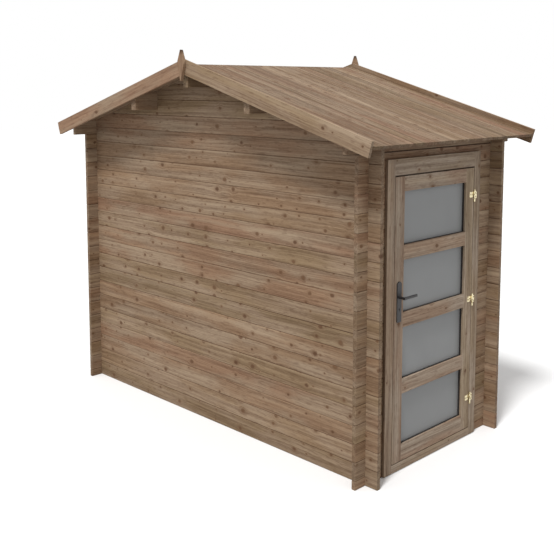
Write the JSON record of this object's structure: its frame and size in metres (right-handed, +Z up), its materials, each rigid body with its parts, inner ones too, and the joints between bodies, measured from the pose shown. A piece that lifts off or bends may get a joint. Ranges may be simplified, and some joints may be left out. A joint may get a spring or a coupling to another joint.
{
  "type": "wooden garden shed",
  "caption": "Log-walled wooden garden shed with cross-notched corners, a saddle roof on purlins, and a glazed door that swings outward on hinges.",
  "frame": {"origin": "on the ground, under the middle of the shed", "axes": "+Z up; the door wall faces +X, and the gable walls face -Y and +Y with the ridge along Y"},
  "size_m": [3.21, 1.7926, 2.5973],
  "materials": {
    "wall_log": "planed softwood, brown impregnated, matt",
    "roof_board": "planed softwood boards, brown impregnated, matt",
    "trim_board": "planed softwood, brown impregnated, matt",
    "frame_wood": "planed softwood, brown impregnated, matt",
    "leaf_wood": "planed softwood, brown impregnated, matt",
    "pane": "grey glazing",
    "hinge_metal": "bright brass plate",
    "handle_metal": "dark grey powder coat"
  },
  "bodies": {
    "cabin": {"back_side_purlin": "trim_board", "back_side_roof": "roof_board", "back_wall": "wall_log", "back_wall_top_log": "wall_log", "door_frame_head": "frame_wood", "door_jamb_left": "frame_wood", "door_jamb_right": "frame_wood", "door_side_purlin": "trim_board", "door_side_roof": "roof_board", "door_threshold": "frame_wood", "door_wall_left": "wall_log", "door_wall_over_door": "wall_log", "door_wall_right": "wall_log", "door_wall_top_log": "wall_log", "frame_hinge_flaps": "hinge_metal", "front_bargeboard_back_side": "trim_board", "front_bargeboard_door_side": "trim_board", "front_finial": "trim_board", "front_gable_peak": "wall_log", "front_gable_wall": "wall_log", "rear_bargeboard_back_side": "trim_board", "rear_bargeboard_door_side": "trim_board", "rear_finial": "trim_board", "rear_gable_peak": "wall_log", "rear_gable_wall": "wall_log", "ridge_purlin": "trim_board"},
    "door": {"door_stile_left": "leaf_wood", "door_stile_right": "leaf_wood", "door_rails": "leaf_wood", "door_panes": "pane", "door_hinge_flaps": "hinge_metal", "handle_plate_outside": "handle_metal", "handle_plate_inside": "handle_metal"},
    "lever": {"lever_handle": "handle_metal"}
  },
  "joints": [
    {"name": "door_swing", "type": "hinge", "parent": "cabin", "child": "door", "pos_m": [1.4365, 0.40925, 0.944], "axis": [0, 0, 1], "range_deg": [0, 150]},
    {"name": "lever_turn", "type": "hinge", "parent": "door", "child": "lever", "pos_m": [1.43, -0.386, 1.098], "axis": [-1, 0, 0], "range_deg": [0, 38], "stiffness_Nm_per_rad": 2, "springref_deg": -14.9}
  ]
}
